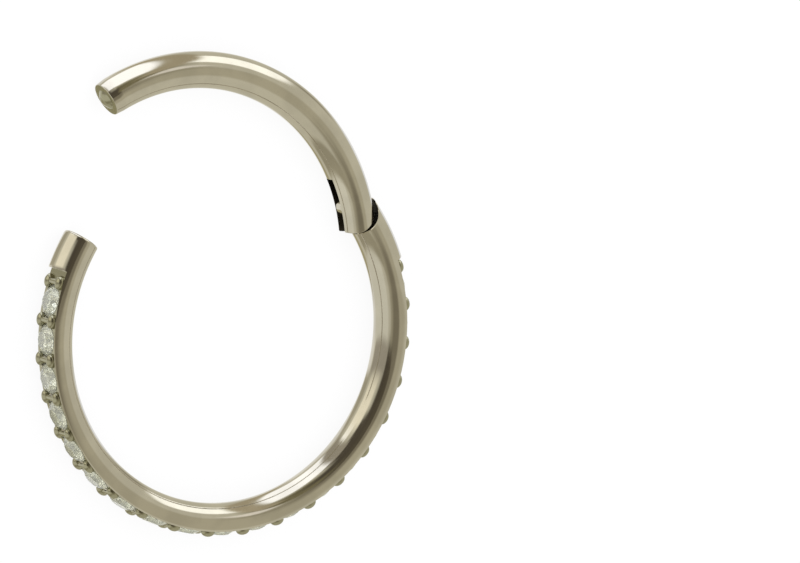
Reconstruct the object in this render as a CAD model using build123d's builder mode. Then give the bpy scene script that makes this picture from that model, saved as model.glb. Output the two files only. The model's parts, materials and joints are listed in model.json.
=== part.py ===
from build123d import *
import math
import os

# Piercing hoop: a hinged segment ring with a row of clear stones round its outside.
# Millimetres and degrees. The hoop lies flat, its axis is +Z through the origin, and
# angles run counter-clockwise from +X. The gate is shown open.

# Wire
hoop_radius = 6.15  # axis of the hoop to the middle of the wire
wire_radius = 0.60  # 16 gauge wire

# Hinge and clasp, as places round the hoop
pivot_angle = 58.0  # radial line through the hinge pin
gate_span = 106.2  # from the pin to the clasp seam, counter-clockwise
opening_angle = 27.0  # how far the gate stands open
open_stop = 6.0  # how much further it opens before it meets its stop
seam_gap = 0.03

# Hinge
pivot_inset = 0.25  # the pin sits this far inside the middle of the wire
knuckle_relief = 0.01  # the gate's round end stays this far below the wire's rim
shoulder_gap = 0.09  # round end to hollow shoulder
bevel = 0.03
pin_radius = 0.15
pin_length = 0.80
pin_seat_gap = 0.01  # pin to the gate's cheeks, all round and at each end
pin_running_gap = 0.02  # pin to the tongue
tongue_thickness = 0.34
tongue_rim = 0.15  # metal round the tongue's bore
tongue_root = 0.45  # how far the tongue reaches back into its segment
slot_gap = 0.03  # tongue to slot
slot_length = 1.05  # from the pin to the closed end of the slot
slot_lean = 4.0  # the slot's outer wall leans this much further than the gate swings

# Clasp
taper_length = 0.30
taper_depth = 0.03
nub_radius = 0.35
nub_height = 0.15
nub_gap = 0.03
end_rounding = 0.08

# Stone row
field_height = 0.27  # flat floor of the row above the middle of the wire
rail_bevel = 0.03
rail_width = 0.07  # metal left each side of a stone
stone_gap = 0.02
stone_spacing = 0.22  # least clear space between two stones
clasp_cap_length = 1.21  # plain wire from the clasp seam to the row
clasp_shelf_length = 0.38
hinge_cap_length = 2.37  # plain wire from the row to the pin's radial line
hinge_shelf_length = 0.22

# Beads and bars that hold the stones
bead_radius = 0.16
bead_height = 0.46  # top of a bead above the middle of the wire
bar_width = 0.12
bar_height = 0.34

# Cut of a stone
table_radius = 0.29
star_radius = 0.41  # where star, bezel and upper girdle facets meet
lower_radius = 0.12  # where the lower girdle facets end
crown_height = 0.16
girdle_height = 0.03
pavilion_depth = 0.42
seat_floor_radius = 0.08
girdle_sink = 0.01  # top of the girdle below the floor of the row
fold = 8  # the cut repeats this many times round the stone

# Worked out from the sizes above
full_turn = 360.0
half_fold = full_turn / fold / 2
clasp_angle = pivot_angle + gate_span
pin_radius_from_axis = hoop_radius - pivot_inset
knuckle_radius = wire_radius + pivot_inset - knuckle_relief
shoulder_radius = knuckle_radius + shoulder_gap
tongue_bore = pin_radius + pin_running_gap
tongue_radius = tongue_bore + tongue_rim
slot_width = tongue_thickness + 2 * slot_gap
slot_radius = tongue_radius + slot_gap
stone_radius = wire_radius - rail_width - stone_gap
seat_radius = stone_radius + stone_gap
girdle_place = hoop_radius + field_height - girdle_sink
floor_place = hoop_radius + field_height


def arc_angle(length):
    """Angle that a length along the middle of the wire takes up."""
    return math.degrees(length / hoop_radius)


def direction(angle):
    return Vector(math.cos(math.radians(angle)), math.sin(math.radians(angle)), 0)


def section_plane(angle):
    """Plane through the hoop's axis: x runs outwards, y runs up."""
    outward = direction(angle)
    return Plane(origin=(0, 0, 0), x_dir=outward, z_dir=outward.cross(Vector(0, 0, 1)))


def outward_plane(angle, radius):
    """Plane that faces outwards at a radius: x runs along the wire, y runs up."""
    outward = direction(angle)
    return Plane(origin=outward * radius, x_dir=direction(angle + 90), z_dir=outward)


pivot = direction(pivot_angle) * pin_radius_from_axis
pivot_axis = Axis(pivot, (0, 0, 1))
pivot_plane = Plane(origin=pivot, x_dir=direction(pivot_angle), z_dir=(0, 0, 1))

gate_end_angle = clasp_angle - arc_angle(seam_gap)
gate_end_centre = direction(gate_end_angle) * hoop_radius
nub_sphere = (nub_radius**2 + nub_height**2) / (2 * nub_height)
nub_centre = gate_end_centre - direction(gate_end_angle + 90) * (nub_sphere - nub_height)

clasp_step_angle = clasp_angle + arc_angle(clasp_cap_length)
row_start = clasp_step_angle + arc_angle(clasp_shelf_length)
hinge_step_angle = full_turn + pivot_angle - arc_angle(hinge_cap_length)
row_end = hinge_step_angle - arc_angle(hinge_shelf_length)
row_length = math.radians(row_end - row_start) * girdle_place
stone_count = int(row_length / (2 * stone_radius + stone_spacing))
stone_pitch = (row_end - row_start) / stone_count
stone_angles = [row_start + (i + 0.5) * stone_pitch for i in range(stone_count)]
bead_angles = [row_start + i * stone_pitch for i in range(stone_count + 1)]
bead_side = wire_radius - rail_width - bead_radius


# Stone: a round brilliant, its axis along +Z and the top of its girdle at Z = 0
def ring_point(step, radius, height):
    """Point of the cut at a number of half folds round the stone."""
    return direction(step * half_fold) * radius + Vector(0, 0, height)


def facet(*points):
    return Face(Wire.make_polygon(points, close=True))


bezel_share = math.cos(math.radians(half_fold))
star_height = crown_height * (stone_radius - star_radius * bezel_share) / (stone_radius - table_radius)
keel_height = girdle_height + pavilion_depth * (1 - lower_radius * bezel_share / stone_radius)
culet = Vector(0, 0, -girdle_height - pavilion_depth)

facets = [facet(*[ring_point(2 * i, table_radius, crown_height) for i in range(fold)])]
for i in range(fold):
    main, side, after = 2 * i, 2 * i + 1, 2 * i + 2
    before = main - 1
    table_corner = ring_point(main, table_radius, crown_height)
    next_corner = ring_point(after, table_radius, crown_height)
    star = ring_point(side, star_radius, star_height)
    last_star = ring_point(before, star_radius, star_height)
    girdle = [ring_point(step, stone_radius, 0) for step in (main, side, after)]
    under = [ring_point(step, stone_radius, -girdle_height) for step in (main, side, after)]
    keel = ring_point(side, lower_radius, -keel_height)
    last_keel = ring_point(before, lower_radius, -keel_height)
    facets.append(facet(table_corner, next_corner, star))
    facets.append(facet(table_corner, star, girdle[0], last_star))
    facets.append(facet(star, girdle[0], girdle[1]))
    facets.append(facet(star, girdle[1], girdle[2]))
    facets.append(facet(girdle[0], girdle[1], under[1], under[0]))
    facets.append(facet(girdle[1], girdle[2], under[2], under[1]))
    facets.append(facet(under[0], under[1], keel))
    facets.append(facet(under[1], under[2], keel))
    facets.append(facet(culet, last_keel, under[0], keel))

with BuildPart() as stone:
    add(Solid(Shell(facets)))

# Seat: the hollow that a stone sits in, open outwards
with BuildPart() as seat:
    seat_depth = girdle_height + pavilion_depth + stone_gap
    with BuildSketch(Plane.XZ):
        with BuildLine():
            Polyline(
                (0, -seat_depth),
                (seat_floor_radius, -seat_depth),
                (seat_radius, -girdle_height - stone_gap),
                (seat_radius, bead_height),
                (0, bead_height),
                close=True,
            )
        make_face()
    revolve(axis=Axis.Z)

# Jewelled segment: the longer part, with the stone row, the tongue and the clasp socket
with BuildPart() as jewelled_segment:
    with BuildSketch(section_plane(clasp_angle)):
        with Locations((hoop_radius, 0)):
            Circle(wire_radius)
    revolve(axis=Axis.Z, revolution_arc=full_turn + pivot_angle - clasp_angle)
    clasp_end = faces().filter_by(GeomType.PLANE).sort_by_distance(direction(clasp_angle) * hoop_radius)[0]
    fillet(clasp_end.edges(), end_rounding)

    # The outer half of the wire makes way for the row's flat floor and its straight rails
    row_span = hinge_step_angle - clasp_step_angle
    with BuildSketch(section_plane(clasp_step_angle)):
        with Locations((hoop_radius, 0)):
            Rectangle(2 * wire_radius, 4 * wire_radius, align=(Align.MIN, Align.CENTER))
    revolve(axis=Axis.Z, revolution_arc=row_span, mode=Mode.SUBTRACT)
    rail_edge = wire_radius - rail_bevel
    rail_side = floor_place - rail_bevel
    with BuildSketch(section_plane(clasp_step_angle)):
        with BuildLine():
            Polyline(
                (hoop_radius, -wire_radius),
                (rail_side, -wire_radius),
                (floor_place, -rail_edge),
                (floor_place, rail_edge),
                (rail_side, wire_radius),
                (hoop_radius, wire_radius),
                close=True,
            )
        make_face()
    revolve(axis=Axis.Z, revolution_arc=row_span)

    # Stone seats, then the bars between them and the beads at both ends of each bar
    with Locations(*[outward_plane(angle, girdle_place) for angle in stone_angles]):
        add(seat.part, mode=Mode.SUBTRACT)
    for angle in bead_angles:
        with BuildSketch(outward_plane(angle, hoop_radius)):
            Rectangle(bar_width, 2 * bead_side)
        extrude(amount=bar_height)
        with BuildSketch(outward_plane(angle, hoop_radius)):
            with Locations((0, bead_side), (0, -bead_side)):
                Circle(bead_radius)
        extrude(amount=bead_height - bead_radius)
        with Locations(outward_plane(angle, hoop_radius + bead_height - bead_radius)):
            with Locations((0, bead_side), (0, -bead_side)):
                Sphere(bead_radius)

    # Hollow shoulder round the gate's end, with the tongue and its bore
    with Locations(pivot):
        Cylinder(shoulder_radius, 4 * wire_radius, mode=Mode.SUBTRACT)
    with BuildSketch(pivot_plane):
        Circle(tongue_radius)
        Rectangle(2 * tongue_radius, shoulder_radius + tongue_root, align=(Align.CENTER, Align.MAX))
    extrude(amount=tongue_thickness / 2, both=True)
    with Locations(pivot):
        Cylinder(tongue_bore, 4 * wire_radius, mode=Mode.SUBTRACT)

    # Socket that the gate's nub drops into
    with Locations(nub_centre):
        Sphere(nub_sphere + nub_gap, mode=Mode.SUBTRACT)

# Gate: the plain segment, made shut and then swung open
with BuildPart() as plain_segment:
    knuckle_reach = arc_angle(knuckle_radius + pivot_inset)
    with BuildSketch(section_plane(pivot_angle - knuckle_reach)):
        with Locations((hoop_radius, 0)):
            Circle(wire_radius)
    revolve(axis=Axis.Z, revolution_arc=knuckle_reach)
    with Locations(pivot):
        Cylinder(knuckle_radius, 4 * wire_radius, mode=Mode.INTERSECT)
    knuckle_end = faces().filter_by(GeomType.CYLINDER)[0]
    chamfer(knuckle_end.edges().filter_by(GeomType.LINE, reverse=True), bevel)

    with BuildSketch(section_plane(pivot_angle)):
        with Locations((hoop_radius, 0)):
            Circle(wire_radius)
    revolve(axis=Axis.Z, revolution_arc=gate_end_angle - pivot_angle)
    gate_end = faces().filter_by(GeomType.PLANE).sort_by_distance(gate_end_centre)[0]
    chamfer(gate_end.edges(), taper_depth, taper_length, reference=gate_end)
    with Locations(nub_centre):
        Sphere(nub_sphere)

    # Slot for the tongue, open to the inside of the hoop and wide enough for the swing
    reach = 2 * knuckle_radius
    lean = math.radians(opening_angle + open_stop + slot_lean)
    brink = (slot_radius * math.cos(lean), slot_radius * math.sin(lean))
    mouth = (brink[0] + reach * math.sin(lean), brink[1] - reach * math.cos(lean))
    with BuildSketch(pivot_plane):
        Circle(slot_radius)
        with Locations((slot_radius, 0)):
            Rectangle(reach, slot_length, align=(Align.MAX, Align.MIN))
        with BuildLine():
            Polyline(brink, mouth, (mouth[0], -reach), (-reach, -reach), (-reach, 0), close=True)
        make_face()
    extrude(amount=slot_width / 2, both=True, mode=Mode.SUBTRACT)
    with Locations(pivot):
        Cylinder(pin_radius + pin_seat_gap, pin_length + 2 * pin_seat_gap, mode=Mode.SUBTRACT)

with BuildPart() as hinge_pin:
    with Locations(pivot):
        Cylinder(pin_radius, pin_length)

os.makedirs("parts", exist_ok=True)
jewelled_segment.part.label = "jewelled_segment"
export_step(jewelled_segment.part, "parts/jewelled_segment.step")
hinge_pin.part.label = "hinge_pin"
export_step(hinge_pin.part, "parts/hinge_pin.step")
open_gate = plain_segment.part.rotate(pivot_axis, -opening_angle)
open_gate.label = "plain_segment"
export_step(open_gate, "parts/plain_segment.step")
for number, angle in enumerate(stone_angles, start=1):
    placed = stone.part.moved(outward_plane(angle, girdle_place).location)
    placed.label = f"stone_{number:02d}"
    export_step(placed, f"parts/stone_{number:02d}.step")
print("stones", stone_count, "pitch", round(stone_pitch, 2))
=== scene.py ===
"""Looks of the piercing hoop: polished warm steel, a row of clear stones, soft studio light."""

import json
import math

import bmesh
import bpy
from mathutils import Matrix, Vector


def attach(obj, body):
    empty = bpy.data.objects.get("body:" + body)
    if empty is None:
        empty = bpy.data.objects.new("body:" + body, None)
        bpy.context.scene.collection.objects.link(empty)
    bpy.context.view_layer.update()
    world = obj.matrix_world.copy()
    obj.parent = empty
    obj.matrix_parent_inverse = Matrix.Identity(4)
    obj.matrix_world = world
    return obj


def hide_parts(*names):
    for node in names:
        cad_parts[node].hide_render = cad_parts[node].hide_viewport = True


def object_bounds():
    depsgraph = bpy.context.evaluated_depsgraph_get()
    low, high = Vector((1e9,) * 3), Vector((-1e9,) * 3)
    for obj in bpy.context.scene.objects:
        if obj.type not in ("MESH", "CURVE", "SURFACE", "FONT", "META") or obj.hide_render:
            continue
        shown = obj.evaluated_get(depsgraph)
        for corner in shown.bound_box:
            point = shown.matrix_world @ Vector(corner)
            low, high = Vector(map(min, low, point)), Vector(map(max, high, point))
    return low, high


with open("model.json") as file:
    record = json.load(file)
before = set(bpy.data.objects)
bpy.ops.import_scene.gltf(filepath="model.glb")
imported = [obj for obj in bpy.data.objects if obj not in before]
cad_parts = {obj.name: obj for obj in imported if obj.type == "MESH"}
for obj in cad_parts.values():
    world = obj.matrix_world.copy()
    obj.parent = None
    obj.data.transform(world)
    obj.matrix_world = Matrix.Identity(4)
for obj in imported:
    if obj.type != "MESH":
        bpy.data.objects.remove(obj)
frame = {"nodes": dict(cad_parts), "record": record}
cad_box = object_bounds()

# Sizes in millimetres and degrees, as in the part's source. Meshes are made in millimetres and
# brought to metres when they are finished.
MM = 0.001
hoop_radius = 6.15
wire_radius = 0.60
pivot_angle = 58.0
gate_span = 106.2
opening_angle = 27.0
seam_gap = 0.03

pivot_inset = 0.25
knuckle_relief = 0.01
shoulder_gap = 0.09
pin_radius = 0.15
pin_length = 0.80
pin_seat_gap = 0.01
pin_running_gap = 0.02
tongue_thickness = 0.34
tongue_rim = 0.15
tongue_root = 0.45
slot_gap = 0.03
slot_length = 1.05
slot_lean_total = 37.0  # swing, stop and lean of the slot's outer wall together

taper_length = 0.30
taper_depth = 0.03
nub_radius = 0.35
nub_height = 0.15
nub_gap = 0.03
end_rounding = 0.08

field_height = 0.27
rail_bevel = 0.03
rail_width = 0.07
stone_gap = 0.02
clasp_cap_length = 1.21
clasp_shelf_length = 0.38
hinge_cap_length = 2.37
hinge_shelf_length = 0.22
stone_count = sum(name.startswith("stone_") for name in frame["nodes"])

bead_radius = 0.16
bead_height = 0.46
girdle_height = 0.03
pavilion_depth = 0.42
seat_floor_radius = 0.08
girdle_sink = 0.01

# Finish that the source leaves out: edges, and beads pushed over the stones from webs between them
edge_round = 0.02
seat_bevel = 0.02
side_fade = 1.7  # length over which the sides of the row turn from round to flat
side_flatness = 0.65  # how flat they get: 0 is the round wire, 1 a flat side
floor_curl = 4  # power with which the row's floor turns towards its sides
stem_taper = 0.8  # a bead's stem narrows to this share of its foot
bead_reach = 0.235
web_width = 0.20
web_foot = 0.26
web_height = 0.40
buried = 0.01  # how far a piece reaches into the metal that it grows from
step_fade = 10.0  # degrees round the wire over which a step's rounded edge fades out
knuckle_span = 4.0  # degrees along the hoop over which the knuckle's rings turn straight

# Fineness of the meshes
wire_sides = 96
angle_step = 1.0  # degrees along the hoop from ring to ring
dome_steps = 10
pole_radius = 0.001  # a dome's innermost ring
head_steps = 12
head_pole = 0.4  # share of a step that a bead's head leaves flat at its poles
web_steps = 8
tongue_steps = 32
bead_sides = 32
bore_sides = 48
seat_sides = 64
rounding_steps = 6
edge_steps = 3
shoulder_steps = 24
knuckle_steps = 12
taper_steps = 4
sharp_edge = 28  # degrees from which an edge isn't shaded smooth
same_place = 1e-6  # points nearer than this are one vertex

full_turn = 360.0
clasp_angle = pivot_angle + gate_span
clasp_step_angle = clasp_angle + math.degrees(clasp_cap_length / hoop_radius)
row_start = clasp_step_angle + math.degrees(clasp_shelf_length / hoop_radius)
hinge_step_angle = full_turn + pivot_angle - math.degrees(hinge_cap_length / hoop_radius)
row_end = hinge_step_angle - math.degrees(hinge_shelf_length / hoop_radius)
stone_pitch = (row_end - row_start) / stone_count
stone_angles = [row_start + (i + 0.5) * stone_pitch for i in range(stone_count)]
bead_angles = [row_start + i * stone_pitch for i in range(stone_count + 1)]
stone_radius = wire_radius - rail_width - stone_gap
seat_radius = stone_radius + stone_gap
girdle_place = hoop_radius + field_height - girdle_sink
bead_side = wire_radius - rail_width - bead_radius
pivot_place = hoop_radius - pivot_inset
nub_sphere = (nub_radius**2 + nub_height**2) / (2 * nub_height)
knuckle_radius = wire_radius + pivot_inset - knuckle_relief
shoulder_radius = knuckle_radius + shoulder_gap
tongue_bore = pin_radius + pin_running_gap
tongue_radius = tongue_bore + tongue_rim
slot_radius = tongue_radius + slot_gap


# Places round the hoop
def direction(angle):
    return Vector((math.cos(math.radians(angle)), math.sin(math.radians(angle)), 0))


def arc_angle(length):
    return math.degrees(length / hoop_radius)


def wire_point(angle, radius, turn):
    """Point on a tube of some radius round the middle of the wire; turn 0 is outwards, 90 up."""
    out = hoop_radius + radius * math.cos(math.radians(turn))
    return direction(angle) * out + Vector((0, 0, radius * math.sin(math.radians(turn))))


def outward_frame(angle, radius):
    """Frame that faces outwards at a radius: x along the wire, y up, z outwards."""
    out, along = direction(angle), direction(angle + 90)
    columns = (along, Vector((0, 0, 1)), out, out * radius)
    return Matrix([[c[i] for c in columns] for i in range(3)] + [(0, 0, 0, 1)])


pivot = direction(pivot_angle) * pivot_place
pivot_frame = Matrix.Translation(pivot) @ Matrix.Rotation(math.radians(pivot_angle), 4, "Z")


# Mesh helpers. A face's material index holds the place of its finish in this list until the mesh
# is finished: polished; worked, which is rougher and painted darker as painted shade on the beads,
# webs, row floor and end faces; or rough, which is rougher still and painted near black as painted
# shade inside the slot, the bore and the hinge's shoulder wall.
finishes_and_shades = ["polished", "worked_and_shaded", "rough"]


def new_object(name, bm):
    bmesh.ops.recalc_face_normals(bm, faces=bm.faces)
    mesh = bpy.data.meshes.new(name)
    bm.to_mesh(mesh)
    bm.free()
    for _ in finishes_and_shades:
        mesh.materials.append(None)
    thing = bpy.data.objects.new(name, mesh)
    bpy.context.scene.collection.objects.link(thing)
    return thing


def skin(bm, rings, near_end=True, far_end=True, worked_and_shaded=None):
    """Joins rings of points, each as long as the next, into a tube. Points that a ring shares with
    the ring before it stay one vertex. The worked test tells for a strip and a place in it whether
    that face gets the worked finish, rougher and painted darker as painted shade, instead of the
    polished one. Returns the last loop of vertices."""
    loops = []
    for ring in rings:
        last = loops[-1] if loops else [None] * len(ring)
        loop = []
        for vertex, point in zip(last, ring):
            shared = vertex and (vertex.co - point).length < same_place
            loop.append(vertex if shared else bm.verts.new(point))
        loops.append(loop)
    for k, (near, far) in enumerate(zip(loops, loops[1:])):
        for i in range(len(near)):
            j = (i + 1) % len(near)
            finish_and_shade = "worked_and_shaded" if worked_and_shaded and worked_and_shaded(k, i) else "polished"
            add_face(bm, (near[i], near[j], far[j], far[i]), finish_and_shade)
    if near_end:
        add_face(bm, loops[0], "worked_and_shaded" if worked_and_shaded else "polished")
    if far_end:
        add_face(bm, loops[-1][::-1])
    return loops[-1]


def add_face(bm, corners, finish_and_shade="polished"):
    apart = list(dict.fromkeys(corners))
    if len(apart) > 2:
        bm.faces.new(apart).material_index = finishes_and_shades.index(finish_and_shade)


def angles_between(start, end):
    count = max(1, round(abs(end - start) / angle_step))
    return [start + (end - start) * i / count for i in range(count + 1)]


def turned(name, outline, places, sides=bead_sides, stretch=1.0):
    """Solid of revolution about z, stretched along x and copied to each frame in places."""
    bm = bmesh.new()
    for place in places:
        rings = []
        for radius, height in outline:
            ring = []
            for i in range(sides):
                a = 2 * math.pi * i / sides
                point = Vector((radius * stretch * math.cos(a), radius * math.sin(a), height))
                ring.append(place @ point)
            rings.append(ring)
        skin(bm, rings)
    return new_object(name, bm)


def plate(name, outline, half_thickness, place, bevel=0.0):
    """Flat plate with the outline in x and y and its faces at both half thicknesses."""
    bm = bmesh.new()
    points = [Vector((x, y, 0)) for x, y in outline]
    inner = []
    for i, p in enumerate(points):
        before, after = points[i - 1], points[(i + 1) % len(points)]
        along = ((p - before).normalized() + (after - p).normalized()).normalized()
        inner.append(p + Vector((-along.y, along.x, 0)) * bevel)
    levels = [(points, half_thickness - bevel)]
    if bevel:
        levels.insert(0, (inner, half_thickness))
    up = Vector((0, 0, 1))
    rings = [[place @ (p + up * z) for p in ring] for ring, z in levels]
    rings += [[place @ (p - up * z) for p in ring] for ring, z in reversed(levels)]
    skin(bm, rings)
    return new_object(name, bm)


def combine(target, tool, operation, finish_and_shade="polished", careful=False):
    """Boolean of target and tool, kept in target. The tool's faces leave their finish, with its painted
    shade, on it. A careful one also allows for thin slivers that cross each other, and takes longer."""
    for face in tool.data.polygons:
        face.material_index = finishes_and_shades.index(finish_and_shade)
    modifier = target.modifiers.new("combine", "BOOLEAN")
    modifier.object = tool
    modifier.operation = operation
    modifier.solver = "EXACT"
    modifier.use_self = careful
    bpy.context.view_layer.update()
    shape = bpy.data.meshes.new_from_object(target.evaluated_get(bpy.context.evaluated_depsgraph_get()))
    target.modifiers.clear()
    old = target.data
    target.data = shape
    bpy.data.meshes.remove(old)
    bpy.data.objects.remove(tool)


# Rings round the wire
turns = [full_turn * i / wire_sides for i in range(wire_sides)]

# The floor of the row meets the wire's own round at this turn and this place in a ring
corner_turn = math.degrees(math.acos(field_height / wire_radius))
corner = round(corner_turn / full_turn * wire_sides)


def tube_ring(angle, radius):
    return [wire_point(angle, radius, turn) for turn in turns]


def cut_angle(turn, radius, cut_radius):
    """How far from the pivot's radial line a tube meets an upright cylinder about the pin."""
    out = hoop_radius + radius * math.cos(math.radians(turn))
    cosine = (out**2 + pivot_place**2 - cut_radius**2) / (2 * out * pivot_place)
    return math.degrees(math.acos(min(1.0, cosine)))


def close_wall(bm, rim, finish_and_shade):
    """Upright wall inside a rim that lies on a cylinder, in strips from its top to its bottom."""
    for i in range(len(rim) // 2):
        add_face(bm, (rim[i], rim[i + 1], rim[-(i + 1)], rim[-i]), finish_and_shade)


def dome_rings(face_angle, sphere, depth, sign):
    """Rings along a ball's cap that stands on the wire's end face, from its pole to its rim."""
    rings = []
    for i in range(dome_steps + 1):
        height = depth * (1 - (i / dome_steps) ** 2)
        radius = math.sqrt(max(sphere**2 - (sphere - depth + height) ** 2, pole_radius**2))
        rings.append(tube_ring(face_angle + sign * arc_angle(height), radius))
    return rings


def row_ring(angle):
    """Ring of the row's stretch, point for point with a tube ring. The sides of the row turn from
    round to flat with the distance from its ends."""
    from_end = min(angle - clasp_step_angle, hinge_step_angle - angle) / arc_angle(side_fade)
    from_end = min(1.0, max(0.0, from_end))
    flatness = side_flatness * from_end**2 * (3 - 2 * from_end)
    rim_out, rim_up = (wire_radius * f(math.radians(turns[corner])) for f in (math.cos, math.sin))
    rim_out += (field_height - rim_out) * flatness
    rim_up += (wire_radius - rail_bevel - rim_up) * flatness
    ring = []
    for turn in turns:
        out, up = (wire_radius * f(math.radians(turn)) for f in (math.cos, math.sin))
        beside = min(turn, full_turn - turn)
        sign = 1 if turn < full_turn / 2 else -1
        if beside <= turns[corner]:
            share = beside / turns[corner]
            out = field_height + (rim_out - field_height) * share**floor_curl
            up = sign * rim_up * share
        elif beside < full_turn / 4:
            up += (sign * wire_radius - up) * flatness
        ring.append(direction(angle) * (hoop_radius + out) + Vector((0, 0, up)))
    return ring


def step_rings(angle, sign):
    """Rings of plain wire up to a step of the row, whose outer edge is rounded."""
    rings = []
    for i in range(edge_steps + 1):
        a = math.radians(90 * i / edge_steps)
        along, drop = edge_round * (1 - math.sin(a)), edge_round * (1 - math.cos(a))
        ring = []
        for turn in turns:
            beside = min(turn, full_turn - turn)
            share = min(1.0, max(0.0, (corner_turn - beside) / step_fade))
            ring.append(wire_point(angle + sign * arc_angle(along), wire_radius - drop * share, turn))
        rings.append(ring)
    return rings


# Jewelled segment
def segment_body():
    """Socket, clasp cap, row and hinge cap as one skin."""
    rings = dome_rings(clasp_angle, nub_sphere + nub_gap, nub_height + nub_gap - seam_gap, 1)
    for i in range(rounding_steps + 1):
        a = math.radians(90 * i / rounding_steps)
        along, drop = end_rounding * (1 - math.cos(a)), end_rounding * (1 - math.sin(a))
        rings.append(tube_ring(clasp_angle + arc_angle(along), wire_radius - drop))
    start = clasp_angle + arc_angle(end_rounding)
    stop = clasp_step_angle - arc_angle(edge_round)
    rings += [tube_ring(a, wire_radius) for a in angles_between(start, stop)[1:-1]]
    rings += step_rings(clasp_step_angle, -1)

    row_first = len(rings)
    rings += [row_ring(a) for a in angles_between(clasp_step_angle, hinge_step_angle)]
    row_last = len(rings) - 1

    rings += step_rings(hinge_step_angle, 1)[::-1]
    start = hinge_step_angle + arc_angle(edge_round)
    pin_angle = full_turn + pivot_angle
    edge = []
    for turn in turns:
        edge.append(pin_angle - cut_angle(turn, wire_radius, shoulder_radius) - arc_angle(edge_round))
    for k in range(1, shoulder_steps + 1):
        angles = [start + (e - start) * k / shoulder_steps for e in edge]
        rings.append([wire_point(a, wire_radius, turn) for a, turn in zip(angles, turns)])
    inside = wire_radius - edge_round
    rim = [pin_angle - cut_angle(turn, inside, shoulder_radius) for turn in turns]
    rings.append([wire_point(angle, inside, turn) for angle, turn in zip(rim, turns)])

    # Painted shade: the socket's dome and the row's floor between the rails get the worked finish,
    # rougher and painted darker.
    def worked_and_shaded(strip, place):
        on_floor = min(place, wire_sides - 1 - place) < corner
        return strip <= dome_steps or (row_first <= strip < row_last and on_floor)

    bm = bmesh.new()
    # Painted shade: the shoulder wall facing the knuckle is painted near black where the hinge's gap lies
    # in shade.
    close_wall(bm, skin(bm, rings, far_end=False, worked_and_shaded=worked_and_shaded), "rough")
    return new_object("segment_metal", bm)


def seats():
    """Hollows for the stones, each with a bright-cut bevel at its mouth."""
    depth = girdle_height + pavilion_depth + stone_gap
    outline = [
        (seat_floor_radius, -depth),
        (seat_radius, -girdle_height - stone_gap),
        (seat_radius, girdle_sink - seat_bevel),
        (seat_radius + seat_bevel, girdle_sink + buried / 2),
        (seat_radius + seat_bevel, bead_height),
    ]
    places = [outward_frame(a, girdle_place) for a in stone_angles]
    return turned("seats", outline, places, sides=seat_sides)


bead_places = []
for angle in bead_angles:
    for side in (-bead_side, bead_side):
        bead_places.append(outward_frame(angle, hoop_radius) @ Matrix.Translation((0, side, 0)))


def bead_stems():
    """Stems of the beads, narrower towards their heads."""
    outline = [(bead_radius, 0), (bead_radius, field_height + buried)]
    outline.append((bead_radius * stem_taper, bead_height - bead_radius / 2))
    return turned("stems", outline, bead_places)


def bead_heads():
    """Heads of the beads, pushed out over the stones on both sides."""
    outline = []
    for i in range(head_steps + 1):
        a = math.radians(-90 + 180 * (i + head_pole) / (head_steps + 2 * head_pole))
        outline.append((bead_radius * math.cos(a), bead_height - bead_radius + bead_radius * math.sin(a)))
    return turned("heads", outline, bead_places, stretch=bead_reach / bead_radius)


def webs():
    """Webs of metal between the stones, under each pair of beads."""
    bm = bmesh.new()
    for angle in bead_angles:
        place = outward_frame(angle, hoop_radius)
        foot = field_height - 2 * buried
        profile = [(web_foot / 2, 0), (web_foot / 2, foot)]
        for i in range(web_steps + 1):
            a = math.radians(180 * i / web_steps)
            profile.append((web_width / 2 * math.cos(a), web_height - web_width / 2 * (1 - math.sin(a))))
        profile += [(-web_foot / 2, foot), (-web_foot / 2, 0)]
        skin(bm, [[place @ Vector((x, y, z)) for x, z in profile] for y in (-bead_side, bead_side)])
    return new_object("webs", bm)


def tongue():
    """Disc round the pin and its root in the segment."""
    outline = []
    for i in range(tongue_steps + 1):
        a = math.radians(180 * i / tongue_steps)
        outline.append((tongue_radius * math.cos(a), tongue_radius * math.sin(a)))
    root = -shoulder_radius - tongue_root
    outline += [(-tongue_radius, root), (tongue_radius, root)]
    return plate("tongue", outline, tongue_thickness / 2, pivot_frame, bevel=edge_round)


def jewelled_segment():
    segment = segment_body()
    combine(segment, tongue(), "UNION")
    bore = [(tongue_bore, -wire_radius), (tongue_bore, wire_radius)]
    # Painted shade: the bore's wall is painted near black.
    combine(segment, turned("bore", bore, [pivot_frame], sides=bore_sides), "DIFFERENCE", "rough")
    # Painted shade: webs, stems and bead heads get the worked finish, rougher and painted darker olive.
    combine(segment, webs(), "UNION", "worked_and_shaded")
    combine(segment, bead_stems(), "UNION", "worked_and_shaded")
    combine(segment, seats(), "DIFFERENCE", "polished")
    combine(segment, bead_heads(), "UNION", "worked_and_shaded", careful=True)
    return segment


# Gate
def slot_tool():
    """Slot for the tongue, open to the inside of the hoop."""
    reach = 2 * knuckle_radius
    lean = math.radians(slot_lean_total)
    meets = slot_radius * math.tan(lean / 2)
    mouth = (slot_radius + reach * math.sin(lean), meets - reach * math.cos(lean))
    outline = [(-reach, -reach), mouth, (slot_radius, meets)]
    outline += [(slot_radius, slot_length), (-reach, slot_length)]
    return plate("slot", outline, tongue_thickness / 2 + slot_gap, pivot_frame)


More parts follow.
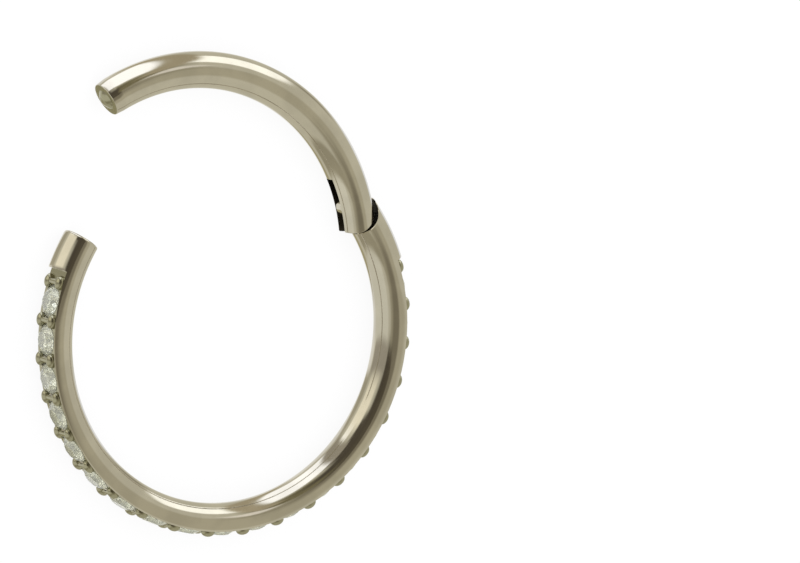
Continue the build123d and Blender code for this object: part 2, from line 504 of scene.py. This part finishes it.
def plain_segment():
    """The gate, made shut and then swung open."""
    gate_end = clasp_angle - arc_angle(seam_gap)
    inside = wire_radius - edge_round
    rings = [[wire_point(pivot_angle - cut_angle(t, inside, knuckle_radius), inside, t) for t in turns]]
    edge = []
    for turn in turns:
        past_pin = cut_angle(turn, wire_radius, knuckle_radius) - arc_angle(edge_round)
        edge.append(pivot_angle - max(0.0, past_pin))
    straight = pivot_angle + knuckle_span
    for k in range(knuckle_steps):
        angles = [e + (straight - e) * k / knuckle_steps for e in edge]
        rings.append([wire_point(a, wire_radius, turn) for a, turn in zip(angles, turns)])
    taper_start = gate_end - arc_angle(taper_length)
    rings += [tube_ring(a, wire_radius) for a in angles_between(straight, taper_start)]
    for k in range(1, taper_steps + 1):
        place = taper_start + (gate_end - arc_angle(edge_round) - taper_start) * k / taper_steps
        rings.append(tube_ring(place, wire_radius - taper_depth * k / taper_steps))
    for k in range(1, taper_steps + 1):
        a = math.radians(90 * k / taper_steps)
        place = gate_end - arc_angle(edge_round * (1 - math.sin(a)))
        rings.append(tube_ring(place, wire_radius - taper_depth - edge_round * (1 - math.cos(a))))
    rings += dome_rings(gate_end, nub_sphere, nub_height, 1)[::-1]
    bm = bmesh.new()
    # Painted shade: the gate's nub and end face get the worked finish, rougher and painted darker.
    rim = skin(bm, rings[::-1], far_end=False, worked_and_shaded=lambda strip, place: strip <= dome_steps)
    close_wall(bm, rim, "polished")
    gate = new_object("gate_metal", bm)
    # Painted shade: the slot's walls are painted near black.
    combine(gate, slot_tool(), "DIFFERENCE", "rough")
    half_bore = pin_length / 2 + pin_seat_gap
    bore = [(pin_radius + pin_seat_gap, -half_bore), (pin_radius + pin_seat_gap, half_bore)]
    combine(gate, turned("pin_bore", bore, [pivot_frame], sides=bore_sides), "DIFFERENCE")
    there = Matrix.Translation(pivot)
    gate.data.transform(there @ Matrix.Rotation(-math.radians(opening_angle), 4, "Z") @ there.inverted())
    return gate


# Materials
def srgb(red, green, blue):
    """Linear colour of a colour given as it looks on a screen, 0 to 255."""
    channels = []
    for c in (red, green, blue):
        c /= 255
        channels.append(c / 12.92 if c <= 0.04045 else ((c + 0.055) / 1.055) ** 2.4)
    return channels


class Nodes:
    """Short ways to add nodes to a tree."""

    def __init__(self, tree):
        self.tree = tree
        tree.nodes.clear()

    def add(self, kind, links=(), **values):
        node = self.tree.nodes.new(kind)
        for key, value in values.items():
            setattr(node, key, value)
        for socket, source in dict(links).items():
            if isinstance(source, bpy.types.NodeSocket):
                self.tree.links.new(source, node.inputs[socket])
            else:
                node.inputs[socket].default_value = source
        return node

    def math(self, operation, *inputs):
        return self.add("ShaderNodeMath", dict(enumerate(inputs)), operation=operation).outputs[0]

    def smooth(self, value, low, high, to_low=0.0, to_high=1.0):
        sockets = {0: value, 1: low, 2: high, 3: to_low, 4: to_high}
        return self.add("ShaderNodeMapRange", sockets, interpolation_type="SMOOTHSTEP").outputs[0]

    def mix(self, share, first, second):
        node = self.add("ShaderNodeMix", data_type="RGBA")
        for socket, value in ((0, share), (6, first), (7, second)):
            if isinstance(value, bpy.types.NodeSocket):
                self.tree.links.new(value, node.inputs[socket])
            elif socket:
                node.inputs[socket].default_value = (*value, 1)
            else:
                node.inputs[socket].default_value = value
        return node.outputs[2]


steel_colour = (0.62, 0.585, 0.51)
# worked metal, painted darker olive: painted shade on the beads, webs, the row's floor and the end faces
worked_and_shaded_colour = (0.41, 0.395, 0.29)
# painted shade: near black inside the slot, the bore and the hinge's shoulder wall
hollow_shade_colour = (0.07, 0.062, 0.05)
cloud_shades = (0.95, 1.06)
finish_roughness = 0.22  # least roughness of worked metal; rough metal has twice that
finish_and_shade_mark = "finish_and_shade"


def steel():
    """Polished warm steel with faint cloudiness, fine wiping marks and a softly wavering surface,
    painted darker on worked faces and near black on rough ones as painted shade.
    """
    material = bpy.data.materials.new("steel")
    material.use_nodes = True
    n = Nodes(material.node_tree)
    place = n.add("ShaderNodeTexCoord").outputs["Object"]
    clouds = n.add("ShaderNodeTexNoise", {"Vector": place, "Scale": 900, "Detail": 3})
    wear = n.add("ShaderNodeTexNoise", {"Vector": place, "Scale": 6000, "Detail": 5, "Roughness": 0.6})
    deep, pale = ([c * shade for c in steel_colour] for shade in cloud_shades)
    colour = n.mix(n.smooth(clouds.outputs[0], 0.35, 0.65), deep, pale)
    rough = n.smooth(wear.outputs[0], 0.3, 0.75, 0.07, 0.13)
    # Painted shade: the finish mark paints worked faces darker olive and rough faces near black, and
    # makes both rougher.
    finish_and_shade = n.add("ShaderNodeAttribute", attribute_name=finish_and_shade_mark).outputs["Fac"]
    colour = n.mix(n.smooth(finish_and_shade, 0, 1), colour, worked_and_shaded_colour)
    colour = n.mix(n.smooth(finish_and_shade, 1, 2), colour, hollow_shade_colour)
    rough = n.math("MAXIMUM", rough, n.math("MULTIPLY", finish_and_shade, finish_roughness))
    wave = n.add("ShaderNodeTexNoise", {"Vector": place, "Scale": 1100, "Detail": 1})
    bump = n.add("ShaderNodeBump", {"Strength": 0.05, "Distance": 0.00002, "Height": wave.outputs[0]})
    shader = n.add("ShaderNodeBsdfPrincipled", {
        "Base Color": colour, "Metallic": 1.0, "Roughness": rough, "Normal": bump.outputs[0]})
    n.add("ShaderNodeOutputMaterial", {"Surface": shader.outputs[0]})
    return material


def stone_glass():
    """Clear cut stone, faintly green-grey."""
    material = bpy.data.materials.new("stone")
    material.use_nodes = True
    n = Nodes(material.node_tree)
    place = n.add("ShaderNodeTexCoord").outputs["Object"]
    haze = n.add("ShaderNodeTexNoise", {"Vector": place, "Scale": 2500, "Detail": 2})
    colour = n.mix(haze.outputs[0], (0.94, 1.0, 0.85), (1.0, 1.0, 0.93))
    rough = n.smooth(haze.outputs[0], 0.4, 0.8, 0.02, 0.06)
    shader = n.add("ShaderNodeBsdfPrincipled", {
        "Base Color": colour, "Roughness": rough, "IOR": 2.17, "Transmission Weight": 0.8})
    n.add("ShaderNodeOutputMaterial", {"Surface": shader.outputs[0]})
    return material


def finish_metal(thing, name, body, material):
    """Brings a mesh to metres, shades it smooth between its edges and seats it in the frame."""
    thing.name = thing.data.name = name
    thing.data.transform(Matrix.Scale(MM, 4))
    # The finish mark carries each face's finish and its painted shade to the steel.
    marks = thing.data.attributes.new(finish_and_shade_mark, "FLOAT", "FACE")
    for face, mark in zip(thing.data.polygons, marks.data):
        mark.value = face.material_index
        face.material_index = 0
    thing.data.materials.clear()
    thing.data.materials.append(material)
    thing.data.shade_smooth()
    thing.data.set_sharp_from_angle(angle=math.radians(sharp_edge))
    weights = thing.modifiers.new("weights", "WEIGHTED_NORMAL")
    weights.keep_sharp = True
    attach(thing, body)


# Camera at the photograph's angle: a long lens, with the hoop where the photograph has it
photo_width, photo_height = 800, 563
pixels_per_mm = 31.02
hoop_centre_x, hoop_centre_y = 223.7, 332.4
camera_tilt = 28.7
camera_roll = 15.6
camera_distance = 0.5


def make_camera():
    tilt, roll = math.radians(camera_tilt), math.radians(camera_roll)
    back = Vector((-math.sin(tilt), 0, math.cos(tilt)))
    level_right = Vector((math.cos(tilt), 0, math.sin(tilt)))
    level_up = Vector((0, 1, 0))
    right = level_right * math.cos(roll) + level_up * math.sin(roll)
    up = level_up * math.cos(roll) - level_right * math.sin(roll)
    middle = right * (photo_width / 2 - hoop_centre_x) + up * (hoop_centre_y - photo_height / 2)
    middle *= MM / pixels_per_mm
    data = bpy.data.cameras.new("camera")
    data.sensor_width = 36
    data.lens = data.sensor_width * camera_distance / MM * pixels_per_mm / photo_width
    data.clip_end = 20
    camera = bpy.data.objects.new("camera", data)
    place = back * camera_distance
    backwards = (place - middle).normalized()
    sideways = up.cross(backwards).normalized()
    columns = (sideways, backwards.cross(sideways), backwards, place)
    camera.matrix_world = Matrix([[c[i] for c in columns] for i in range(3)] + [(0, 0, 0, 1)])
    bpy.context.scene.collection.objects.link(camera)
    bpy.context.scene.camera = camera


# Studio: soft panels of light and shade round the hoop, each named after what might stand there.
# Azimuth runs counter-clockwise from the hoop's +X, heights and softness are in degrees, and
# colours are as the steel shows them. A later panel covers an earlier one.
studio_walls = (173, 166, 143)
studio_panels = [
    # azimuth from, to, height from, to, softness, colour in the steel
    (-180, 180, -120, -52, 12, (200, 194, 178)),  # light from below
    (196, 242, -60, 40, 10, (190, 184, 163)),  # pale wall
    (243, 262, -30, 60, 7, (140, 132, 108)),  # dark edge
    (-180, 180, 55, 120, 14, (142, 134, 110)),  # ceiling
    (-180, 180, 68, 120, 14, (112, 104, 84)),  # middle of the ceiling
    (-60, 40, 50, 68, 12, (156, 148, 123)),  # paler ceiling
    (76, 116, 38, 80, 14, (106, 98, 70)),  # brown cloth overhead
    (100, 200, 48, 88, 16, (70, 63, 50)),  # dark cloth overhead
    (60, 200, 70, 88, 12, (74, 67, 52)),  # its fold over the middle
    (125, 158, 32, 60, 10, (72, 65, 52)),  # its lower hem
    (78, 92, -60, 50, 6, (152, 140, 112)),  # gap between lamp and window
    (128, 143, -40, 40, 5, (140, 131, 112)),  # gap beside the window
    (180, 198, -45, 50, 8, (142, 134, 116)),  # door
    (94, 129, -38, 33, 5, (252, 248, 238)),  # window
    (49, 78, -10, 31, 5, (255, 250, 232)),  # lamp
    (144, 164, -20, 10, 5, (250, 244, 226)),  # second lamp
    (150, 178, -24, 32, 14, (220, 210, 182)),  # tall card
    (58, 76, 48, 60, 5, (205, 196, 178)),  # small high card
    (12, 28, -46, -22, 6, (206, 203, 196)),  # low card
    (34, 46, -28, -10, 6, (138, 130, 108)),  # low shade
    (-112, -60, -74, -50, 8, (146, 137, 104)),  # shade under the gate's end
    (140, 180, -90, -40, 12, (152, 144, 120)),  # shade under the clasp
]


def make_studio():
    world = bpy.data.worlds.new("studio")
    bpy.context.scene.world = world
    world.use_nodes = True
    n = Nodes(world.node_tree)
    toward = n.add("ShaderNodeTexCoord").outputs["Generated"]
    split = n.add("ShaderNodeSeparateXYZ", {0: toward}).outputs
    azimuth = n.math("DEGREES", n.math("ARCTAN2", split[1], split[0]))
    height = n.math("DEGREES", n.math("ARCSINE", split[2]))
    light = reflected(studio_walls)
    for start, end, low, high, soft, colour in studio_panels:
        centre, half = (start + end) / 2, (end - start) / 2
        share = n.smooth(height, low - soft / 2, low + soft / 2)
        share = n.math("MULTIPLY", share, n.smooth(height, high - soft / 2, high + soft / 2, 1.0, 0.0))
        if half < full_turn / 2:
            apart = n.math("WRAP", n.math("SUBTRACT", azimuth, centre), full_turn / 2, -full_turn / 2)
            beside = n.smooth(n.math("ABSOLUTE", apart), half - soft / 2, half + soft / 2, 1.0, 0.0)
            share = n.math("MULTIPLY", share, beside)
        light = n.mix(share, light, reflected(colour))
    background = n.add("ShaderNodeBackground", {"Color": light, "Strength": 1.0})
    n.add("ShaderNodeOutputWorld", {"Surface": background.outputs[0]})

    dome = bpy.data.lights.new("dome", "SUN")
    dome.energy = 3.8
    dome.angle = math.radians(150)
    lamp = bpy.data.objects.new("dome", dome)
    lamp.visible_glossy = lamp.visible_transmission = False
    bpy.context.scene.collection.objects.link(lamp)


def reflected(colour):
    """Light of a panel that looks as the given colour in the steel."""
    return [c / s for c, s in zip(srgb(*colour), steel_colour)]


def make_floor(height):
    """White table, lit from within so that shadows on it stay faint."""
    bm = bmesh.new()
    reach = 3.0
    corners = ((-reach, -reach), (reach, -reach), (reach, reach), (-reach, reach))
    bm.faces.new([bm.verts.new((x, y, height)) for x, y in corners])
    floor = new_object("floor", bm)
    material = bpy.data.materials.new("floor")
    material.use_nodes = True
    n = Nodes(material.node_tree)
    shader = n.add("ShaderNodeBsdfPrincipled", {
        "Base Color": (0.07, 0.07, 0.075, 1), "Roughness": 0.9, "Specular IOR Level": 0.0,
        "Emission Color": (1, 1, 1, 1), "Emission Strength": 0.9})
    n.add("ShaderNodeOutputMaterial", {"Surface": shader.outputs[0]})
    floor.data.materials.clear()
    floor.data.materials.append(material)
    floor.visible_glossy = floor.visible_transmission = False


# The hoop and its studio
bodies = {node: body for body, nodes in frame["record"]["behaviour"]["bodies"].items() for node in nodes}
steel_material, stone_material = steel(), stone_glass()

segment = jewelled_segment()
finish_metal(segment, "segment_metal", bodies["jewelled_segment"], steel_material)
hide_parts("jewelled_segment")

gate = plain_segment()
finish_metal(gate, "gate_metal", bodies["plain_segment"], steel_material)
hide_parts("plain_segment")

for name, node in frame["nodes"].items():
    node.data.materials.clear()
    node.data.materials.append(stone_material if name.startswith("stone_") else steel_material)

make_camera()
make_studio()
make_floor(cad_box[0][2])

scene = bpy.context.scene
scene.view_settings.view_transform = "Standard"
